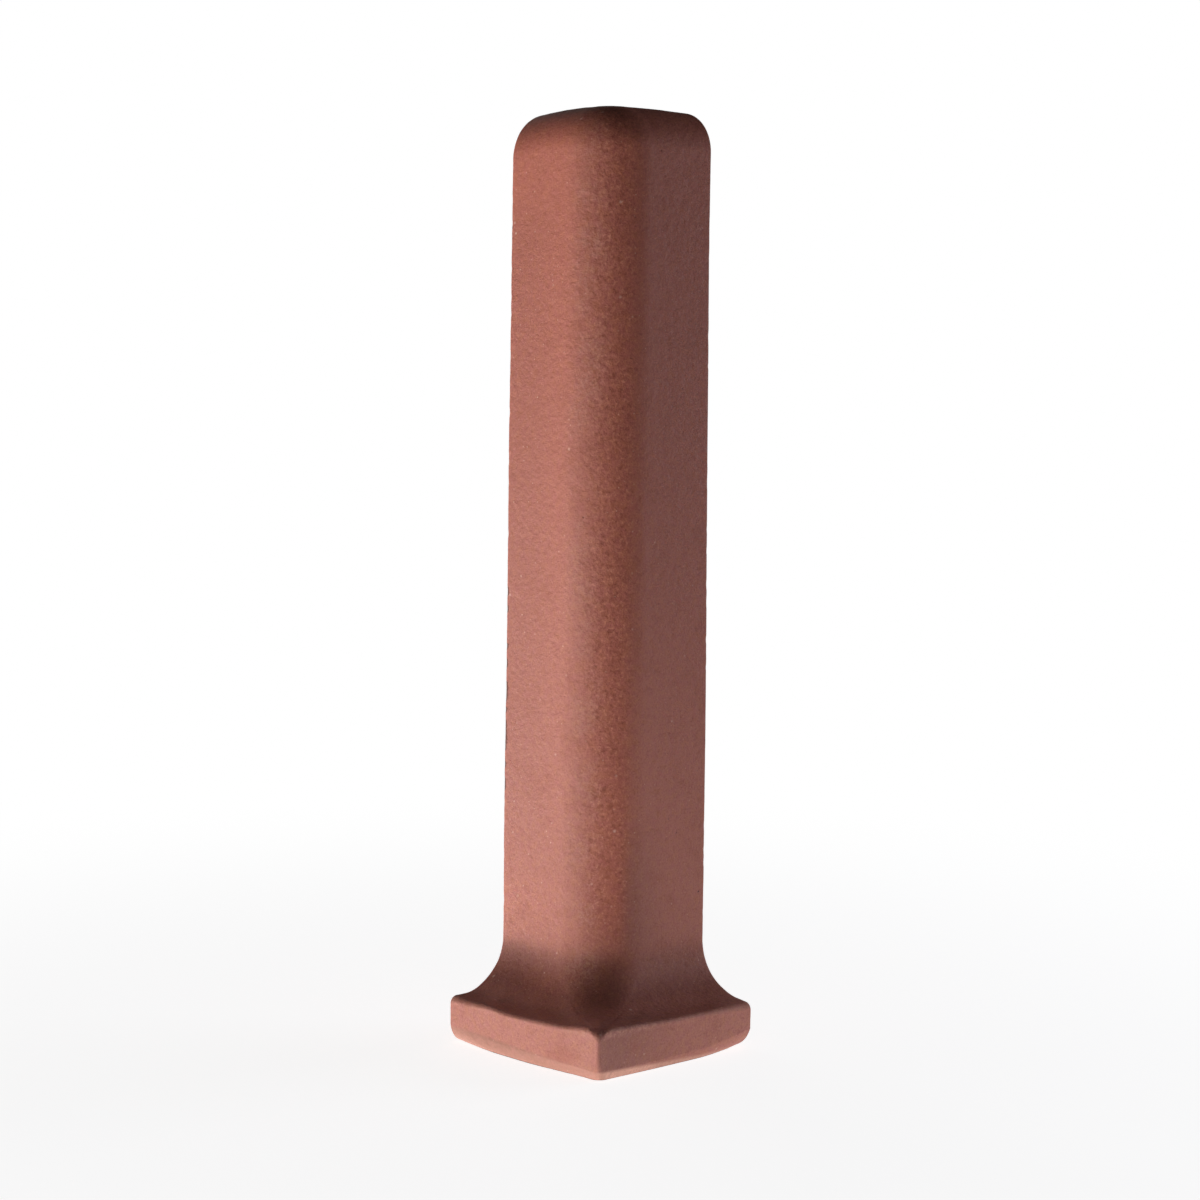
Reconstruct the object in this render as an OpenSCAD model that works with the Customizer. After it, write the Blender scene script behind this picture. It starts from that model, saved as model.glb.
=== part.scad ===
// Cove base outside corner trim tile, one piece of fired clay.
// It wraps an outside wall corner: two short legs at a right angle, a rounded
// corner and a rounded top edge outside, and a cove that runs out to a square toe.
// Units are millimetres. The tile stands on z = 0, centred on its own footprint.

/* [Overall] */
// height from the floor to the top edge
tile_h = 152.4; // [60:0.1:320]
// width of each leg on its face, from the corner line to the joint end
leg_w = 23.7; // [17:0.1:60]
// thickness of the body, face to wall
body_t = 12.7; // [10.5:0.1:16]

/* [Corner and top edge] */
// radius of the outside vertical corner
corner_r = 9.5; // [7.5:0.1:10.4]
// radius of the rounded top edge
top_r = 7.4; // [2:0.1:7.4]

/* [Cove and toe] */
// how far the toe stands out from the face
toe_out = 11.2; // [6:0.1:18]
// height of the toe at its top edge
toe_h = 8.2; // [4:0.1:16]
// radius of the cove between face and toe
cove_r = 8; // [3:0.1:16]
// radius of the toe's own vertical corner
toe_corner_r = 1.6; // [1.5:0.1:5]
// radius of the toe's top edge
lip_r = 0.8; // [0.3:0.1:1.4]
// bevel along the toe's bottom edge, as wide as it is high
foot_bevel = 1.1; // [0.3:0.1:1.4]

/* [Hidden] */
$fn = 96;
// the cove meets the toe's top this much before it runs level, on a clean line
cove_dip = 0.02;
// the cove ends where the toe's rounded edge begins
cove = min(cove_r, toe_out - lip_r);
// longer than anything here
reach = tile_h + leg_w + toe_out;

// The sliver between a square corner at the origin and an arc of radius r inside it.
module spandrel(r) {
  difference() {
    square(r);
    translate([r, r]) circle(r);
  }
}

// Side profile of the face above the toe. x runs inwards, from the face to depth w.
module face_profile(w) {
  difference() {
    translate([0, toe_h]) square([w, tile_h - toe_h]);
    translate([0, tile_h]) mirror([0, 1]) spandrel(top_r);
  }
  intersection() {
    translate([0, toe_h - cove_dip]) mirror([1, 0]) spandrel(cove);
    translate([-toe_out, toe_h]) square([toe_out, cove]);
  }
}

// Side profile of the toe's edge, its top corner rounded and its foot bevelled.
module toe_profile(w) {
  difference() {
    square([w, toe_h]);
    polygon([[0, 0], [foot_bevel, 0], [0, foot_bevel]]);
    translate([0, toe_h]) mirror([0, 1]) spandrel(lip_r);
  }
}

// Sweeps a side profile along one leg, round a corner of radius r and along the other.
// The profile is drawn past depth r and is cut there, which is on the corner's axis.
module sweep_corner(r, length) {
  for (side = [0, 1]) mirror([side, -side, 0])
    translate([r, 0, 0]) rotate([90, 0, 90]) linear_extrude(length - r) intersection() {
      children();
      translate([-reach, 0]) square([reach + r, reach]);
    }
  translate([r, r, 0]) rotate([0, 0, 180]) rotate_extrude(angle = 90) intersection() {
    translate([r, 0]) mirror([1, 0]) children();
    square(reach);
  }
}

// Plain block behind a swept edge, with the angle for the wall corner left open.
module core(front, h) {
  linear_extrude(h) difference() {
    translate([front, front]) square(leg_w - front);
    translate([body_t, body_t]) square(leg_w);
  }
}

module body() {
  sweep_corner(corner_r, leg_w) face_profile(corner_r + 1);
  core(corner_r, tile_h);
}

module toe() {
  translate([-toe_out, -toe_out, 0])
    sweep_corner(toe_corner_r, leg_w + toe_out) toe_profile(toe_corner_r + 1);
  core(toe_corner_r - toe_out, toe_h);
}

module corner_tile() {
  color([0.68, 0.42, 0.36])
    translate([(toe_out - leg_w) / 2, (toe_out - leg_w) / 2, 0]) {
      body();
      toe();
    }
}

corner_tile();
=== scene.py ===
import functools
import itertools
import math

import bmesh
import bpy
import numpy as np
from mathutils import Matrix, Vector


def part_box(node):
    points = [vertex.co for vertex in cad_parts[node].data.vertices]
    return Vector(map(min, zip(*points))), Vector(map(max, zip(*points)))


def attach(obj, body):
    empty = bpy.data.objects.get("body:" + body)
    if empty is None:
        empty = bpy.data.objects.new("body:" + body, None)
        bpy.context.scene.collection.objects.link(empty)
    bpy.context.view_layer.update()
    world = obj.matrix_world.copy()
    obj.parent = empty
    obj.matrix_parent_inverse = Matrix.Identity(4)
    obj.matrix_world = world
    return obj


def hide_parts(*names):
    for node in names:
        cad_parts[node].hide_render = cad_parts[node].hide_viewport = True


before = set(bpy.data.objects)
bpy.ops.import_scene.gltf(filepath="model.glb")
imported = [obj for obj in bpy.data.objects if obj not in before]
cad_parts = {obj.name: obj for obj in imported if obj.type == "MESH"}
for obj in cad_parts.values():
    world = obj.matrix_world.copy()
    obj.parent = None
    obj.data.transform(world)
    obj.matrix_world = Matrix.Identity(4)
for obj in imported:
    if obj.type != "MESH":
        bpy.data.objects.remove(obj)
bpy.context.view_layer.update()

MM = 0.001
SKIN = 0.0001          # mm, keeps the rounding of floats inside the CAD box
MERGE = 0.003          # mm, points closer than this are one
SLIVER = 0.001         # mm, edges shorter than this are dissolved

# ---------------------------------------------------------------- sizes, mm
# Lengths are measured from the body's outside corner: along each leg, out from
# its face, and up from the floor. The overall box comes from the frame.
low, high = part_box("corner_tile")
TILE_H = (high.z - low.z) / MM
FOOT_W = (high.x - low.x) / MM
TOE_OUT = 11.2
LEG_W = FOOT_W - TOE_OUT
TO_MIDDLE = (TOE_OUT - LEG_W) / 2  # moves the body's corner to its place in the frame
BODY_T = 12.7
CORNER_R = 9.5
COVE_R = 8.0
TOE_H = 8.2
TOE_CORNER_R = 0.6     # plan radius of the toe's corner on its face
LIP_CORNER_R = 1.0     # where the toe's top meets it
LIP_RUN = 1.3          # how far in from the toe's face that is
FOOT_CORNER_R = 1.6    # and at the foot, which is worn
FOOT_RUN = (0.4, 3.0)  # heights between which the foot's radius gives way to the face's
TOE_LEAN = 0.8         # how far the toe's corner lies over towards the right leg
LEAN_RUN = 16.0        # and the run along a leg that takes it up
BACK_EASE = 0.35       # worn arris round the back and at the joint ends

# A fired tile is never quite true. A table gives stations and the value at each. The
# station is -1 at the left joint end, 0 at the corner and 1 at the right joint end.
TOP_R = ([-1.0, -0.5, 0.0, 0.5, 1.0], [8.0, 7.5, 7.4, 7.2, 7.0])
TOP_DROP = ([-1.0, -0.8, -0.5, -0.2, 0.0, 0.2, 0.5, 1.0],
            [0.36, 0.22, 0.12, 0.14, 0.28, 0.10, 0.0, 0.0])
# the foot's edge: how far in and how high it goes, and whether it is flat (1) or round (0)
FOOT_IN = ([-1.0, -0.93, -0.85, -0.7, -0.4, 0.0, 0.4, 0.7, 0.9, 1.0],
           [2.6, 2.0, 1.4, 0.85, 0.65, 0.75, 0.65, 0.8, 2.0, 3.2])
FOOT_UP = ([-1.0, -0.93, -0.85, -0.7, -0.4, 0.0, 0.4, 0.7, 0.9, 1.0],
           [3.2, 2.8, 2.4, 2.1, 1.9, 1.5, 1.5, 1.7, 2.6, 3.3])
FOOT_FLAT = ([-1.0, -0.8, -0.5, 0.0, 0.6, 0.85, 1.0], [0.1, 0.3, 0.7, 0.9, 0.9, 0.6, 0.4])
# the toe's top edge: its radius, and how far it has sunk
LIP_R = ([-1.0, -0.9, -0.7, -0.1, 0.0, 0.1, 0.6, 0.85, 1.0],
         [1.3, 0.9, 0.7, 0.65, 0.9, 0.65, 0.7, 0.9, 1.1])
LIP_DROP = ([-1.0, -0.9, -0.8, -0.72, -0.62, -0.5, -0.37, -0.25, -0.15, -0.07,
             0.0, 0.07, 0.15, 0.25, 0.4, 0.7, 1.0],
            [0.5, 0.78, 0.72, 0.65, 1.0, 1.0, 0.8, 0.75, 0.5, 0.05,
             0.1, 0.1, 0.3, 0.33, 0.6, 0.7, 0.05])
SINK_OUT = (2.0, 9.0)  # out from the face, where the sinking begins and is full
SINK_UP = (2.5, 7.0)   # and the same by height
# straight fall of the toe's top from the cove to the lip, at the right joint end
LIP_SLOPE = ([0.0, 0.7, 0.85, 1.0], [0.0, 0.0, 0.35, 0.8])
SLOPE_FROM = 5.2
# how far a table's corners are rounded off, in stations: most, the foot and lip, and the drop
BLUR, FINE_BLUR, DROP_BLUR = 0.06, 0.03, 0.04
# the toe's top corner is rubbed round, over this run in stations
RUB_RUN = 0.022
RUB_DROP = 0.15
RUB_LIP = 0.75

# How far each joint end lies in from square, by height, with its corners rounded off too.
END_BLUR = 4.0
END_Z = [0, 8, 14, 21, 36, 51, 69, 89, 102, 120, 138, 146, TILE_H]
END_IN = {"left": [0.0, 0.0, 0.05, 0.15, 0.05, 0.13, 0.33, 0.42, 0.48, 0.60, 0.80, 0.90, 0.92],
          "right": [0.0, 0.0, 0.0, 0.0, 0.0, 0.0, 0.10, 0.36, 0.50, 0.62, 0.66, 0.55, 0.50]}
# Small chips along the joint ends' front arrises: lowest, highest, how many.
CHIP_SEED = 23
CHIPS = {"left": (22.0, 140.0, 26), "right": (20.0, 140.0, 18)}
CHIP_HALF = (0.35, 1.1)   # half their length, shortest and longest
CHIP_DEEP = (0.04, 0.16)  # shallowest and deepest
# The chips on the left end that show dark, with painted shade in them: height of middle, half their
# length, and how dark.
NICKS = ((73.6, 0.9, 1.0), (70.7, 0.6, 1.0), (64.6, 0.6, 1.0),
         (61.7, 1.1, 0.75), (57.0, 2.0, 1.0), (54.0, 0.6, 0.9),
         (49.9, 3.0, 1.0), (44.9, 0.7, 0.7), (41.7, 1.5, 0.7))
NICK_SHARE = (0.0, 0.4, 0.9, 1.0, 0.9, 0.3)  # on the first sections from the joint end
NICK_DEEP = 0.12
ARRIS = (-0.9, -0.1)   # out from the face, where chips begin and are full

# Low swells and fine unevenness of the surface: seed, cell and height.
RELIEF = ((7, 17.0, 0.05), (11, 3.1, 0.02), (13, 1.3, 0.020), (17, 0.7, 0.010))
# The right leg came out of the mould smoother: by what share, and from where to where
# past the corner this comes in.
SMOOTHER_BY = 0.25
SMOOTHER_FROM, SMOOTHER_TO = 5.0, 10.0

# --------------------------------------------------- how finely it is meshed
LEG_N, TURN_N = 56, 46            # steps along each leg and round the corner
ARRIS_TURNS = (90, 67, 45, 22)    # sections round a joint end's arris, degrees from the face
# steps on each stretch of the side profile, from the base round to the back
BASE_N, FOOT_N, TOE_N, LIP_N, LEDGE_N, COVE_N = 12, 12, 12, 10, 6, 34
FACE_N, ROUND_N, TOP_N, BACK_N, EASE_N = 350, 26, 8, 30, 4
MANY_SIDES = 9                    # only the two flat joint ends have faces with as many


def table_value(table, at, blur=BLUR):
    """A table's value at a place, with its corners rounded off over about blur."""
    spread = np.linspace(-2, 2, 17)
    weight = np.exp(-0.5 * spread ** 2)
    return float((np.interp(at + blur * spread, *table) * weight).sum() / weight.sum())


def ease(share):
    """A share from 0 to 1, or an array of them, with a soft start and end."""
    return share * share * (3 - 2 * share)


def smooth(value, start, end):
    """0 at start and 1 at end, with a soft start and end."""
    return ease(min(max((value - start) / (end - start), 0.0), 1.0))


# ------------------------------------------------- smooth seeded unevenness
class Lumps:
    """Smooth value noise on a seeded grid over the whole tile, cell in mm."""

    WIDTH = 48.0                 # mm, more than the tile's, with the origin in its middle
    BELOW = 6.0                  # mm of the grid that lie under the floor
    SPARE = (4, 6)               # cells added across and up

    def __init__(self, seed, cell):
        across = int(self.WIDTH / cell) + self.SPARE[0]
        up = int(TILE_H / cell) + self.SPARE[1]
        self.grid = np.random.RandomState(seed).uniform(-1, 1, (across, across, up))
        self.origin = np.array([self.WIDTH / 2, self.WIDTH / 2, self.BELOW]) / cell
        self.cell = cell

    def at(self, points):
        """The noise at points in mm, from -1 to 1."""
        places = points / self.cell + self.origin
        cells = np.floor(places).astype(int)
        within = ease(places - cells)
        total = 0.0
        for corner in itertools.product((0, 1), repeat=3):
            weight = np.where(corner, within, 1 - within).prod(-1)
            across, along, up = ((cells + corner) % self.grid.shape).T
            total = total + weight * self.grid[across, along, up]
        return total


# ------------------------------------------------------------ side profile
def arc(centre, radius, start, end, count):
    """Points on an arc from one angle to another, in degrees."""
    angles = np.radians(np.linspace(start, end, count + 1))
    return np.column_stack([np.cos(angles), np.sin(angles)]) * radius + centre


def line(start, end, count):
    """Points on a line at even steps."""
    start, end = np.array(start, float), np.array(end, float)
    return start + (end - start) * np.linspace(0, 1, count + 1)[:, None]


def fine_ends(start, end, count):
    """A line whose points gather at both ends, to hold the edges there crisp."""
    start, end = np.array(start, float), np.array(end, float)
    shares = 0.5 - 0.5 * np.cos(np.pi * np.linspace(0, 1, count + 1))
    return start + (end - start) * shares[:, None]


def foot_edge(wide, tall, flat):
    """The foot's edge from the base up to the face: an arc pulled towards a flat bevel."""
    rounded = arc((0, 0), 1, -90, 0, FOOT_N) * (wide, tall) + (TOE_OUT - wide, tall)
    bevel = line((TOE_OUT - wide, 0), (TOE_OUT, tall), FOOT_N)
    return rounded + (bevel - rounded) * flat


def side_profile(station):
    """Closed loop of (out from the face, height), anticlockwise from the back of the base."""
    foot_in = table_value(FOOT_IN, station, FINE_BLUR)
    foot_up = table_value(FOOT_UP, station, FINE_BLUR)
    foot_flat = table_value(FOOT_FLAT, station)
    top_r = table_value(TOP_R, station)
    top = TILE_H - table_value(TOP_DROP, station)
    rubbed = math.exp(-(station / RUB_RUN) ** 2)
    lip_r = table_value(LIP_R, station, FINE_BLUR) + RUB_LIP * rubbed
    drop = table_value(LIP_DROP, station, DROP_BLUR) + RUB_DROP * rubbed
    slope = table_value(LIP_SLOPE, station, FINE_BLUR)
    cove_top = TOE_H + COVE_R
    back = -BODY_T + BACK_EASE
    stretches = [
        fine_ends((back, 0), (TOE_OUT - foot_in, 0), BASE_N),
        foot_edge(foot_in, foot_up, foot_flat),
        fine_ends((TOE_OUT, foot_up), (TOE_OUT, TOE_H - lip_r), TOE_N),
        arc((TOE_OUT - lip_r, TOE_H - lip_r), lip_r, 0, 90, LIP_N),
        fine_ends((TOE_OUT - lip_r, TOE_H), (COVE_R, TOE_H), LEDGE_N),
        arc((COVE_R, cove_top), COVE_R, 270, 180, COVE_N),
        line((0, cove_top), (0, top - top_r), FACE_N),
        arc((-top_r, top - top_r), top_r, 0, 90, ROUND_N),
        line((-top_r, top), (back, top), TOP_N),
        arc((back, top - BACK_EASE), BACK_EASE, 90, 180, EASE_N),
        line((-BODY_T, top - BACK_EASE), (-BODY_T, BACK_EASE), BACK_N),
        arc((back, BACK_EASE), BACK_EASE, 180, 270, EASE_N),
    ]
    points = np.vstack([stretch[:-1] for stretch in stretches])
    # the toe's top edge runs a little uneven, and falls away at the right end
    for point in points:
        out, height = point
        if out > SINK_OUT[0] and height > SINK_UP[0]:
            fall = drop * smooth(out, *SINK_OUT)
            fall += slope * max(out - SLOPE_FROM, 0.0) / (TOE_OUT - SLOPE_FROM)
            point[1] -= fall * smooth(height, *SINK_UP)
    return points


def loop_normals(points):
    """The outward normal at each point of a closed loop."""
    tangents = np.roll(points, -1, 0) - np.roll(points, 1, 0)
    normals = np.column_stack([tangents[:, 1], -tangents[:, 0]])
    return normals / np.linalg.norm(normals, axis=1)[:, None]


# ------------------------------------------------------- corner and joint ends
def corner_radius(out, height):
    """Plan radius of the outside corner, where the surface stands that far out."""
    if out <= 0:
        return max(CORNER_R + out, 0.0)
    lip = TOE_OUT - LIP_RUN
    if out < lip:
        return CORNER_R + (LIP_CORNER_R - CORNER_R) * out / lip
    radius = LIP_CORNER_R + (TOE_CORNER_R - LIP_CORNER_R) * (out - lip) / LIP_RUN
    return FOOT_CORNER_R + (radius - FOOT_CORNER_R) * smooth(height, *FOOT_RUN)


@functools.lru_cache(None)
def end_in(kind, height):
    """How far the left or right joint end lies in from square."""
    return table_value((END_Z, END_IN[kind]), height, END_BLUR)


chip_rng = np.random.RandomState(CHIP_SEED)
CHIP_ROWS = {kind: (chip_rng.uniform(lowest, highest, count), chip_rng.uniform(*CHIP_HALF, count),
                    chip_rng.uniform(*CHIP_DEEP, count))
             for kind, (lowest, highest, count) in CHIPS.items()}


def shaded_nick(kind, height):
    """1 in the middle of a fully dark chip, 0 away from them all."""
    if kind != "left":
        return 0.0
    return max(0.0, *(dark * (1 - ((height - at) / half) ** 2) for at, half, dark in NICKS))


def chip(kind, height):
    """How deep the joint end's front arris is chipped at a height."""
    at, half, deep = CHIP_ROWS[kind]
    small = float((deep * np.clip(1 - ((height - at) / half) ** 2, 0, 1)).max())
    return max(small, NICK_DEEP * shaded_nick(kind, height))


def leg_ring(kind, share, turned=0.0):
    """One section across the left or right leg, at a share of the way to the corner.

    turned is how far round the worn arris of the joint end it lies, in degrees from the face.
    """
    bend = math.radians(turned)
    profile = side_profile(share - 1 if kind == "left" else 1 - share)
    points = []
    for (out, height), (normal_out, normal_up) in zip(profile, loop_normals(profile)):
        centre = corner_radius(out, height) - out
        worn = BACK_EASE + chip(kind, height) * smooth(out, *ARRIS)
        inset = worn * (1 - math.cos(bend))
        end = LEG_W - end_in(kind, round(height, 3)) - worn * (1 - math.sin(bend))
        reach = end + (centre - end) * share
        lean = TOE_LEAN * smooth(out, 0.0, TOE_OUT) * (1 - smooth(reach - centre, 0.0, LEAN_RUN))
        face = inset * normal_out - out
        x, y = (face, reach) if kind == "left" else (reach, face)
        points.append((x + lean, y, height - inset * normal_up))
    return points


def turn_ring(share):
    """One section round the outside corner, from the left leg (0) to the right leg (1)."""
    angle = math.radians(180 + 90 * share)
    points = []
    for out, height in side_profile(0.0):
        radius = corner_radius(out, height)
        centre = radius - out
        lean = TOE_LEAN * smooth(out, 0.0, TOE_OUT)
        points.append((centre + radius * math.cos(angle) + lean,
                       centre + radius * math.sin(angle), height))
    return points


# ---------------------------------------------------------------- the tile
def build_tile():
    """The tile's vertices in mm, its faces, and how much painted shade a chip gives each vertex."""
    shares = np.linspace(0, 1, LEG_N + 1)
    rings = [leg_ring("left", 0.0, turned) for turned in ARRIS_TURNS]
    rings += [leg_ring("left", share) for share in shares]
    rings += [turn_ring(share) for share in np.linspace(0, 1, TURN_N + 1)[1:-1]]
    rings += [leg_ring("right", share) for share in shares[::-1]]
    rings += [leg_ring("right", 0.0, turned) for turned in reversed(ARRIS_TURNS)]
    points = np.array(rings)
    dark = np.zeros(points.shape[:2])
    for row, share in enumerate(NICK_SHARE):
        dark[row] = [share * shaded_nick("left", z) * smooth(-x, *ARRIS) for x, _, z in points[row]]
    points[..., :2] += TO_MIDDLE
    index = np.arange(dark.size).reshape(dark.shape)
    beside = np.roll(index, -1, 1)
    quads = np.stack([index[:-1], index[1:], beside[1:], beside[:-1]], -1).reshape(-1, 4)
    faces = quads.tolist() + [index[0].tolist(), index[-1][::-1].tolist()]
    return points.reshape(-1, 3), faces, dark.reshape(-1)


def add_relief(surface):
    """Moves a bmesh's vertices in and out by the swells, and keeps them inside the box."""
    points = np.array([vert.co for vert in surface.verts]) / MM
    normals = np.array([vert.normal for vert in surface.verts])
    push = sum(height * Lumps(seed, cell).at(points) for seed, cell, height in RELIEF)
    past_corner = (points[:, 0] - points[:, 1] - SMOOTHER_FROM) / (SMOOTHER_TO - SMOOTHER_FROM)
    push *= 1 - SMOOTHER_BY * ease(np.clip(past_corner, 0, 1))
    points += normals * push[:, None]
    points[:, :2] = np.clip(points[:, :2], -FOOT_W / 2, FOOT_W / 2)
    points[:, 2] = np.clip(points[:, 2], 0, TILE_H - SKIN)
    for vert, point in zip(surface.verts, points):
        vert.co = Vector(point) * MM


def tile_mesh():
    """The tile's mesh, with the painted shade of its chips as a vertex attribute."""
    points, faces, dark = build_tile()
    mesh = bpy.data.meshes.new("fired_tile")
    mesh.from_pydata((points * MM).tolist(), [], faces)
    surface = bmesh.new()
    surface.from_mesh(mesh)
    nick_layer = surface.verts.layers.float.new("shaded_nick")
    for vert, value in zip(surface.verts, dark):
        vert[nick_layer] = value
    bmesh.ops.remove_doubles(surface, verts=surface.verts, dist=MERGE * MM)
    bmesh.ops.dissolve_degenerate(surface, edges=surface.edges, dist=SLIVER * MM)
    bmesh.ops.recalc_face_normals(surface, faces=surface.faces)
    surface.normal_update()
    add_relief(surface)
    for face in surface.faces:
        face.smooth = len(face.verts) < MANY_SIDES
        if not face.smooth:
            for edge in face.edges:
                edge.smooth = False
    surface.to_mesh(mesh)
    surface.free()
    return mesh


tile = bpy.data.objects.new("fired_tile", tile_mesh())
bpy.context.scene.collection.objects.link(tile)
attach(tile, "root")
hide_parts("corner_tile")


# ------------------------------------------------------------ shader nodes
# Values pass from node to node as output sockets. A number or a colour may stand for one,
# apart from the first value of calc, product and ramp and the share of mix.
def feed(value, socket):
    """Gives an input its value: another node's output, a number or a colour."""
    if isinstance(value, bpy.types.NodeSocket):
        socket.id_data.links.new(value, socket)
    elif socket.type == "RGBA":
        socket.default_value = (*value, 1)
    else:
        socket.default_value = value


def node(tree, kind, **values):
    """A new node. Each value goes to its property of that name, or else to its input."""
    made = tree.nodes.new(kind)
    for name, value in values.items():
        if hasattr(made, name):
            setattr(made, name, value)
        else:
            feed(value, made.inputs[name.replace("_", " ")])
    return made


def calc(operation, first, second, clamp=False):
    """One sum with two values."""
    made = node(first.id_data, "ShaderNodeMath", operation=operation, use_clamp=clamp)
    feed(first, made.inputs[0])
    feed(second, made.inputs[1])
    return made.outputs["Value"]


def product(*values):
    """The product of several values."""
    return functools.reduce(functools.partial(calc, "MULTIPLY"), values)


def ramp(value, start, end, at_start=0.0, at_end=1.0, kind="SMOOTHSTEP"):
    """Runs from at_start to at_end as value goes from start to end, and is level past them."""
    made = node(value.id_data, "ShaderNodeMapRange", interpolation_type=kind, Value=value,
                From_Min=start, From_Max=end, To_Min=at_start, To_Max=at_end)
    return made.outputs["Result"]


def rise(value, start, full):
    """0 until start and 1 from full on, both in mm. It falls where full is the smaller."""
    return ramp(value, start * MM, full * MM)


def mix(under, over, share, blend="MIX"):
    """One colour over another, by a share from 0 to 1."""
    made = node(share.id_data, "ShaderNodeMix", data_type="RGBA", blend_type=blend)
    # the node has the same names for numbers, vectors and colours, so it goes by place
    for value, index in ((share, 0), (under, 6), (over, 7)):
        feed(value, made.inputs[index])
    return made.outputs[2]


# ------------------------------------------------------------- fired clay
CLAY_TOP = (0.400, 0.114, 0.072)
# lighter and paler towards the foot, a painted sheen
CLAY_LOW_SHEENED = (0.450, 0.156, 0.111)
# the plain red round the corner, without the painted sheen
CLAY_BAND = (0.450, 0.130, 0.085)
CLAY_BROWN = (0.340, 0.096, 0.054)
PALE_PATCH = (0.48, 0.228, 0.178)
# the foot's edge on the right: paler from wear, with painted light from below
WORN_AND_LIT_FOOT = (0.68, 0.345, 0.255)
# the foot's edge on the left: tan, darkened as painted shade
TAN_AND_SHADED_FOOT = (0.34, 0.143, 0.095)
WORN = (0.52, 0.250, 0.185)
GROG = (0.92, 0.66, 0.54)
PIT = (0.075, 0.030, 0.024)
# painted shade inside the dark chips
CHIP_SHADE = (0.14, 0.036, 0.020)
STREAK = (0.9, 0.9, 1.0)       # how the streaks' noise is stretched
STREAK_TURN = (0.12, 0.10, 0)  # and turned, in radians, so that no axis shows
SMALLEST_SPECK = 0.45          # of the largest speck's radius
SPECK_EDGE = 9.0               # how fast a speck comes in from its edge

material = bpy.data.materials.new("fired_clay")
material.use_nodes = True
clay = material.node_tree
where = node(clay, "ShaderNodeTexCoord").outputs["Object"]


def noise(scale, detail, rough, at=where):
    """Cloudy noise about 0.5, with scale lumps to the metre."""
    made = node(clay, "ShaderNodeTexNoise", Vector=at, Scale=scale, Detail=detail, Roughness=rough)
    return made.outputs["Fac"]


def specks(scale, radius, keep, faintest=1.0):
    """Sparse round specks, 1 in the middle of the strongest.

    scale is cells to the metre, radius the largest speck's, in cells, and keep the share of
    cells with a speck. A cell's own random colour settles whether, how large and how strong.
    """
    cells = node(clay, "ShaderNodeTexVoronoi", Vector=where, Scale=scale)
    chance = node(clay, "ShaderNodeSeparateColor", Color=cells.outputs["Color"])
    chosen = calc("LESS_THAN", chance.outputs["Red"], keep)
    size = ramp(chance.outputs["Green"], 0.0, 1.0, radius * SMALLEST_SPECK, radius, "LINEAR")
    near = calc("SUBTRACT", size, cells.outputs["Distance"])
    sharp = calc("MULTIPLY", near, SPECK_EDGE, clamp=True)
    strength = ramp(chance.outputs["Blue"], 0.0, 1.0, faintest, 1.0, "LINEAR")
    return product(sharp, chosen, strength)


def bump(height, distance, strength, over=None):
    """The normal that a height gives, distance in mm, laid over an earlier normal."""
    made = node(clay, "ShaderNodeBump", Height=height, Distance=distance * MM, Strength=strength)
    if over is not None:
        feed(over, made.inputs["Normal"])
    return made.outputs["Normal"]


mottle = noise(170, 4.0, 0.6)
cloud = noise(140, 3.0, 0.6)
patches = noise(800, 3.0, 0.6)
stretched = node(clay, "ShaderNodeMapping", Vector=where, Scale=STREAK, Rotation=STREAK_TURN)
streak = noise(900, 3.0, 0.6, stretched.outputs["Vector"])
fine = noise(1700, 3.0, 0.7)
grain = noise(3200, 2.0, 0.6)
pits = specks(560, 0.17, 0.035)

# Places on the tile. along is 0 at the corner, negative on the left leg and positive on the
# right one. outward grows away from the wall, and endward towards the joint ends.
x, y, up = node(clay, "ShaderNodeSeparateXYZ", Vector=where).outputs
along = calc("SUBTRACT", x, y)
outward = calc("MAXIMUM", product(x, -1.0), product(y, -1.0))
endward = calc("MAXIMUM", x, y)
outside = rise(outward, -3.0, 2.0)
band = product(outside, rise(along, -6.4, -0.8), rise(along, 7.8, 4.0), rise(up, 10.0, 24.0))
cove = product(outside, rise(endward, 17.35, 17.0), rise(up, 8.0, 9.8), rise(up, 18.0, 13.5))
toe = product(outside, rise(up, 8.6, 7.6))
painted_shade_by_joint = product(outside, rise(along, -8.0, -20.0), rise(up, 22.0, 45.0), rise(up, 142.0, 130.0))
painted_light_above_cove = product(outside, rise(along, -1.0, -6.0), rise(up, 13.5, 16.5), rise(up, 31.0, 19.0))
painted_shade_low_right = product(outside, rise(along, 3.0, 7.0), rise(along, 17.0, 7.0),
                    rise(up, 42.0, 24.0), rise(up, 13.0, 19.0))

# Tints that darken or lighten the clay in places, in the order they are laid.
TINTS = (
    # painted shade: a darker cove, the more so in its corner
    ((0.80, 0.75, 0.72), cove),
    ((0.86, 0.89, 0.89), product(cove, rise(along, -6.0, -2.0), rise(along, 7.0, 3.0))),
    # painted shade on the left leg towards its joint end and in its cove there, and painted light
    # just above the cove
    ((0.88, 0.88, 0.89), painted_shade_by_joint),
    ((0.78, 0.76, 0.76), product(cove, rise(along, -11.0, -21.0))),
    ((1.11, 1.11, 1.10), painted_light_above_cove),
    # painted shade on the right, low on the face and on the toe beside its corner
    ((0.78, 0.79, 0.80), painted_shade_low_right),
    ((0.68, 0.70, 0.73), product(toe, rise(along, 0.2, 1.2), rise(along, 20.0, 3.0))),
    # the toe a little paler than the body, and painted light making it lighter towards its right end
    ((1.0, 1.05, 1.07), toe),
    ((1.14, 1.17, 1.19), product(toe, rise(along, 12.0, 34.0))),
)
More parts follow.
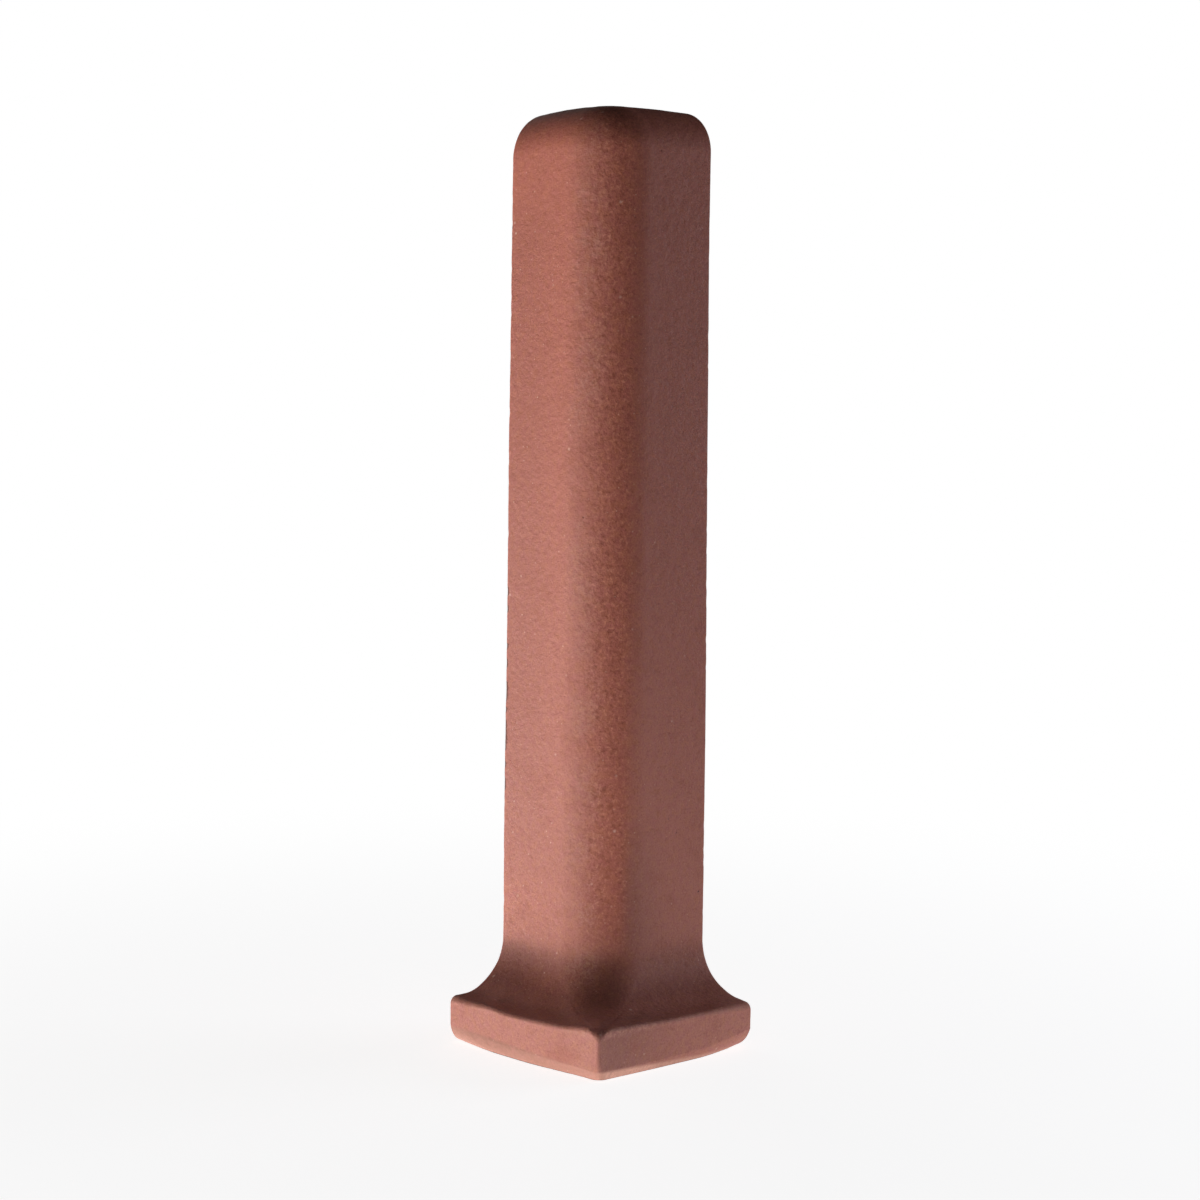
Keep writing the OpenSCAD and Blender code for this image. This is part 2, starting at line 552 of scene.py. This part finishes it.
# What breaks the colour up: colour, how it is laid, the noise, the noise's values where it
# begins and is full, and how strong it is there.
BREAKS = (
    # patches that are more orange, and others pinker
    ((1.03, 1.06, 0.91), "MULTIPLY", patches, 0.50, 0.64, 0.8),
    ((0.98, 0.93, 1.04), "MULTIPLY", patches, 0.50, 0.36, 0.8),
    (CLAY_BROWN, "MIX", mottle, 0.50, 0.25, 0.45),
    ((0.84, 0.76, 0.70), "MULTIPLY", streak, 0.46, 0.30, 0.6),
    ((0.80, 0.72, 0.66), "MULTIPLY", grain, 0.50, 0.32, 0.7),
    ((1.0, 0.58, 0.44), "MIX", grain, 0.58, 0.80, 0.16),
)
# painted shade: round the corner the grain is drawn stronger in colour, as grazing light would shade
# its relief there
GRAIN_SHADE_BREAKS = (
    ((0.56, 0.46, 0.40), "MULTIPLY", fine, 0.50, 0.28, 0.62),
    ((0.72, 0.64, 0.58), "MULTIPLY", streak, 0.49, 0.32, 0.34),
    ((0.93, 0.41, 0.27), "MIX", fine, 0.52, 0.74, 0.36),
)

# painted sheen: the body is lighter and paler towards the foot, but stays plain red round the corner,
# where the painted sheen is left off
colour = mix(CLAY_LOW_SHEENED, CLAY_TOP, rise(up, 0.0, 140.0))
colour = mix(colour, CLAY_BAND, band)
for tint, place in TINTS:
    colour = mix(colour, tint, place, "MULTIPLY")
# thin paler patches where the left face turns into the corner
pale_patches = product(outside, ramp(cloud, 0.36, 0.66, 0.10, 0.50), rise(along, -10.5, -6.0),
                rise(along, 2.0, -3.0), ramp(fine, 0.40, 0.62, 0.2, 1.0))
colour = mix(colour, PALE_PATCH, pale_patches)
for tint, blend, source, start, full, strength in BREAKS:
    colour = mix(colour, tint, ramp(source, start, full, 0.0, strength), blend)
for tint, blend, source, start, full, strength in GRAIN_SHADE_BREAKS:
    colour = mix(colour, tint, product(band, ramp(source, start, full, 0.0, strength)), blend)

# the foot's edge: on the right paler from wear and lighter still as painted light from below, on the
# left tan and darkened as painted shade
edge_top = ramp(along, -30.0 * MM, 32.0 * MM, 2.7 * MM, 0.2 * MM, "LINEAR")
foot = rise(calc("SUBTRACT", up, edge_top), 0.4, -0.4)
foot_wear_and_light = mix(TAN_AND_SHADED_FOOT, WORN_AND_LIT_FOOT, rise(along, 0.0, 3.0))
colour = mix(colour, foot_wear_and_light, product(foot, ramp(fine, 0.30, 0.62, 0.55, 1.0)))
# the toe's upper edge is rubbed pale in places
lip_wear = product(rise(outward, 16.2, 16.9), rise(up, 6.2, 7.2), ramp(fine, 0.42, 0.66, 0.0, 0.6))
colour = mix(colour, WORN, lip_wear)
# coarse and fine grog specks, and dark pits
colour = mix(colour, GROG, product(specks(430, 0.15, 0.28, 0.35), 0.64))
colour = mix(colour, GROG, product(specks(900, 0.16, 0.45, 0.35), 0.50))
colour = mix(colour, PIT, pits)
# painted shade in the dark chips, with ragged edges
chip_shade_share = node(clay, "ShaderNodeAttribute", attribute_name="shaded_nick").outputs["Fac"]
ragged = calc("ADD", chip_shade_share, ramp(fine, 0.3, 0.7, -0.2, 0.2, "LINEAR"))
colour = mix(colour, CHIP_SHADE, ramp(ragged, 0.16, 0.40))

# the grain in relief, a little weaker on the smoother right leg, and the pits sunk in
weaker = ramp(along, SMOOTHER_FROM * MM, SMOOTHER_TO * MM, 1.0, 0.95)
normal = bump(streak, 0.12, weaker)
normal = bump(fine, 0.07, weaker, over=normal)
normal = bump(product(pits, -1.0), 0.10, 1.0, over=normal)

bsdf = clay.nodes["Principled BSDF"]
feed(colour, bsdf.inputs["Base Color"])
feed(ramp(fine, 0.3, 0.7, 0.62, 0.74), bsdf.inputs["Roughness"])
feed(normal, bsdf.inputs["Normal"])
feed(0.5, bsdf.inputs["Specular IOR Level"])
tile.data.materials.append(material)

# ------------------------------- camera, at the photograph's viewing angle
YAW, PITCH, ROLL = 46.90, -3.647, 0.637  # degrees
DISTANCE, EYE_H = 382.39, 97.80          # mm, from the body's corner and up from the floor
LENS, SENSOR = 72.7698, 36               # mm
SHIFT = -0.0025833                       # sideways, in widths of the sensor
NEAREST = 0.01                           # m, nothing closer to the camera is drawn

yaw, pitch = math.radians(YAW), math.radians(PITCH)
ahead = Vector((math.cos(yaw), math.sin(yaw), 0))
right = Vector((math.sin(yaw), -math.cos(yaw), 0))
above = Vector((0, 0, 1))
aim = ahead * math.cos(pitch) + above * math.sin(pitch)
over = above * math.cos(pitch) - ahead * math.sin(pitch)
eye = Vector((TO_MIDDLE, TO_MIDDLE, EYE_H)) - ahead * DISTANCE
optics = bpy.data.cameras.new("camera")
optics.sensor_width = SENSOR
optics.lens = LENS
optics.shift_x = SHIFT
optics.clip_start = NEAREST
camera = bpy.data.objects.new("camera", optics)
bpy.context.scene.collection.objects.link(camera)
attitude = Matrix((right, over, -aim)).transposed() @ Matrix.Rotation(math.radians(ROLL), 3, "Z")
camera.matrix_world = Matrix.Translation(eye * MM) @ attitude.to_4x4()
bpy.context.scene.camera = camera

# ---- floor: pale, white to the eye further out, and it keeps the shadow ----
WHITE = (1, 1, 1)
FLOOR_SIZE = 8           # m
FLOOR_GREY = (0.4, 0.4, 0.4)
FLOOR_GLOW = 0.86        # what the camera sees of it besides the light that falls on it
FADE = (0.03, 0.30)      # m from the middle, where plain white begins and is full


def floor_material():
    """Grey and dull to the light, but nearly white to the camera."""
    made = bpy.data.materials.new("floor")
    made.use_nodes = True
    tree = made.node_tree
    seen = node(tree, "ShaderNodeLightPath").outputs["Is Camera Ray"]
    near = tree.nodes["Principled BSDF"]
    feed(FLOOR_GREY, near.inputs["Base Color"])
    feed(0.9, near.inputs["Roughness"])
    feed(0.1, near.inputs["Specular IOR Level"])
    feed(WHITE, near.inputs["Emission Color"])
    feed(product(seen, FLOOR_GLOW), near.inputs["Emission Strength"])
    position = node(tree, "ShaderNodeNewGeometry").outputs["Position"]
    distance = node(tree, "ShaderNodeVectorMath", operation="LENGTH", Vector=position)
    fade = ramp(distance.outputs["Value"], *FADE, kind="SMOOTHERSTEP")
    both = node(tree, "ShaderNodeMixShader", Fac=product(fade, seen))
    feed(near.outputs["BSDF"], both.inputs[1])
    feed(node(tree, "ShaderNodeEmission").outputs["Emission"], both.inputs[2])
    feed(both.outputs["Shader"], tree.nodes["Material Output"].inputs["Surface"])
    return made


bpy.ops.mesh.primitive_plane_add(size=FLOOR_SIZE, location=(0, 0, 0))
floor = bpy.context.object
floor.name = "floor"
floor.data.materials.append(floor_material())

# ------------------------------------------------------------------- light
WORLD_LIGHT = 0.044
COOL = (0.98, 1.0, 1.12)
# Lamps that lie on the floor one over another are at different multiples of this height,
# in m, because in one plane they would lose light.
TABLE = 0.00001
# name, azimuth from the camera's axis (left negative), distance, height of the centre,
# width, height, watts, lying or not, tint
LAMPS = (
    ("table_left_far", -90, 0.30, 5 * TABLE, 0.50, 0.20, 1.15, True, WHITE),
    ("table_left_wide", -90, 0.25, 6 * TABLE, 1.0, 0.5, 1.72, True, WHITE),
    ("table_left_near", -90, 0.05, 4 * TABLE, 0.2, 0.1, 0.049, True, WHITE),
    ("table_right_near", 90, 0.05, 4 * TABLE, 0.2, 0.1, 0.048, True, WHITE),
    ("table_front_left", -60, 0.25, 7 * TABLE, 0.6, 0.5, 0.22, True, WHITE),
    ("table_back_left", -120, 0.25, 8 * TABLE, 0.6, 0.4, 1.05, True, WHITE),
    ("side_right", 110, 0.50, 0.14, 0.35, 0.24, 0.92, False, COOL),
    ("side_left", -95, 0.50, 0.06, 0.35, 0.12, 0.34, False, WHITE),
    ("back_high", -155, 0.45, 0.35, 0.3, 0.2, 0.22, False, WHITE),
)

world = bpy.data.worlds.new("studio")
bpy.context.scene.world = world
world.use_nodes = True
sky = world.node_tree
sky_seen = node(sky, "ShaderNodeLightPath").outputs["Is Camera Ray"]
feed(WHITE, sky.nodes["Background"].inputs["Color"])
feed(ramp(sky_seen, 0.0, 1.0, WORLD_LIGHT, 1.0, "LINEAR"), sky.nodes["Background"].inputs["Strength"])


def lamp(name, azimuth, distance, height, wide, tall, watts, lying, tint):
    """A soft panel that faces the tile, or lies on the floor facing up."""
    data = bpy.data.lights.new(name, "AREA")
    data.shape = "RECTANGLE"
    data.size, data.size_y = wide, tall
    data.energy, data.color = watts, tint
    panel = bpy.data.objects.new(name, data)
    bpy.context.scene.collection.objects.link(panel)
    out = Matrix.Rotation(math.radians(azimuth), 3, "Z") @ -ahead
    panel.location = out * distance + above * height
    if lying:
        panel.rotation_euler = Matrix((above.cross(out), -out, -above)).transposed().to_euler()
    else:
        panel.rotation_euler = (-out).to_track_quat("-Z", "Y").to_euler()
    panel.visible_camera = False


for row in LAMPS:
    lamp(*row)

bpy.context.scene.view_settings.view_transform = "Standard"
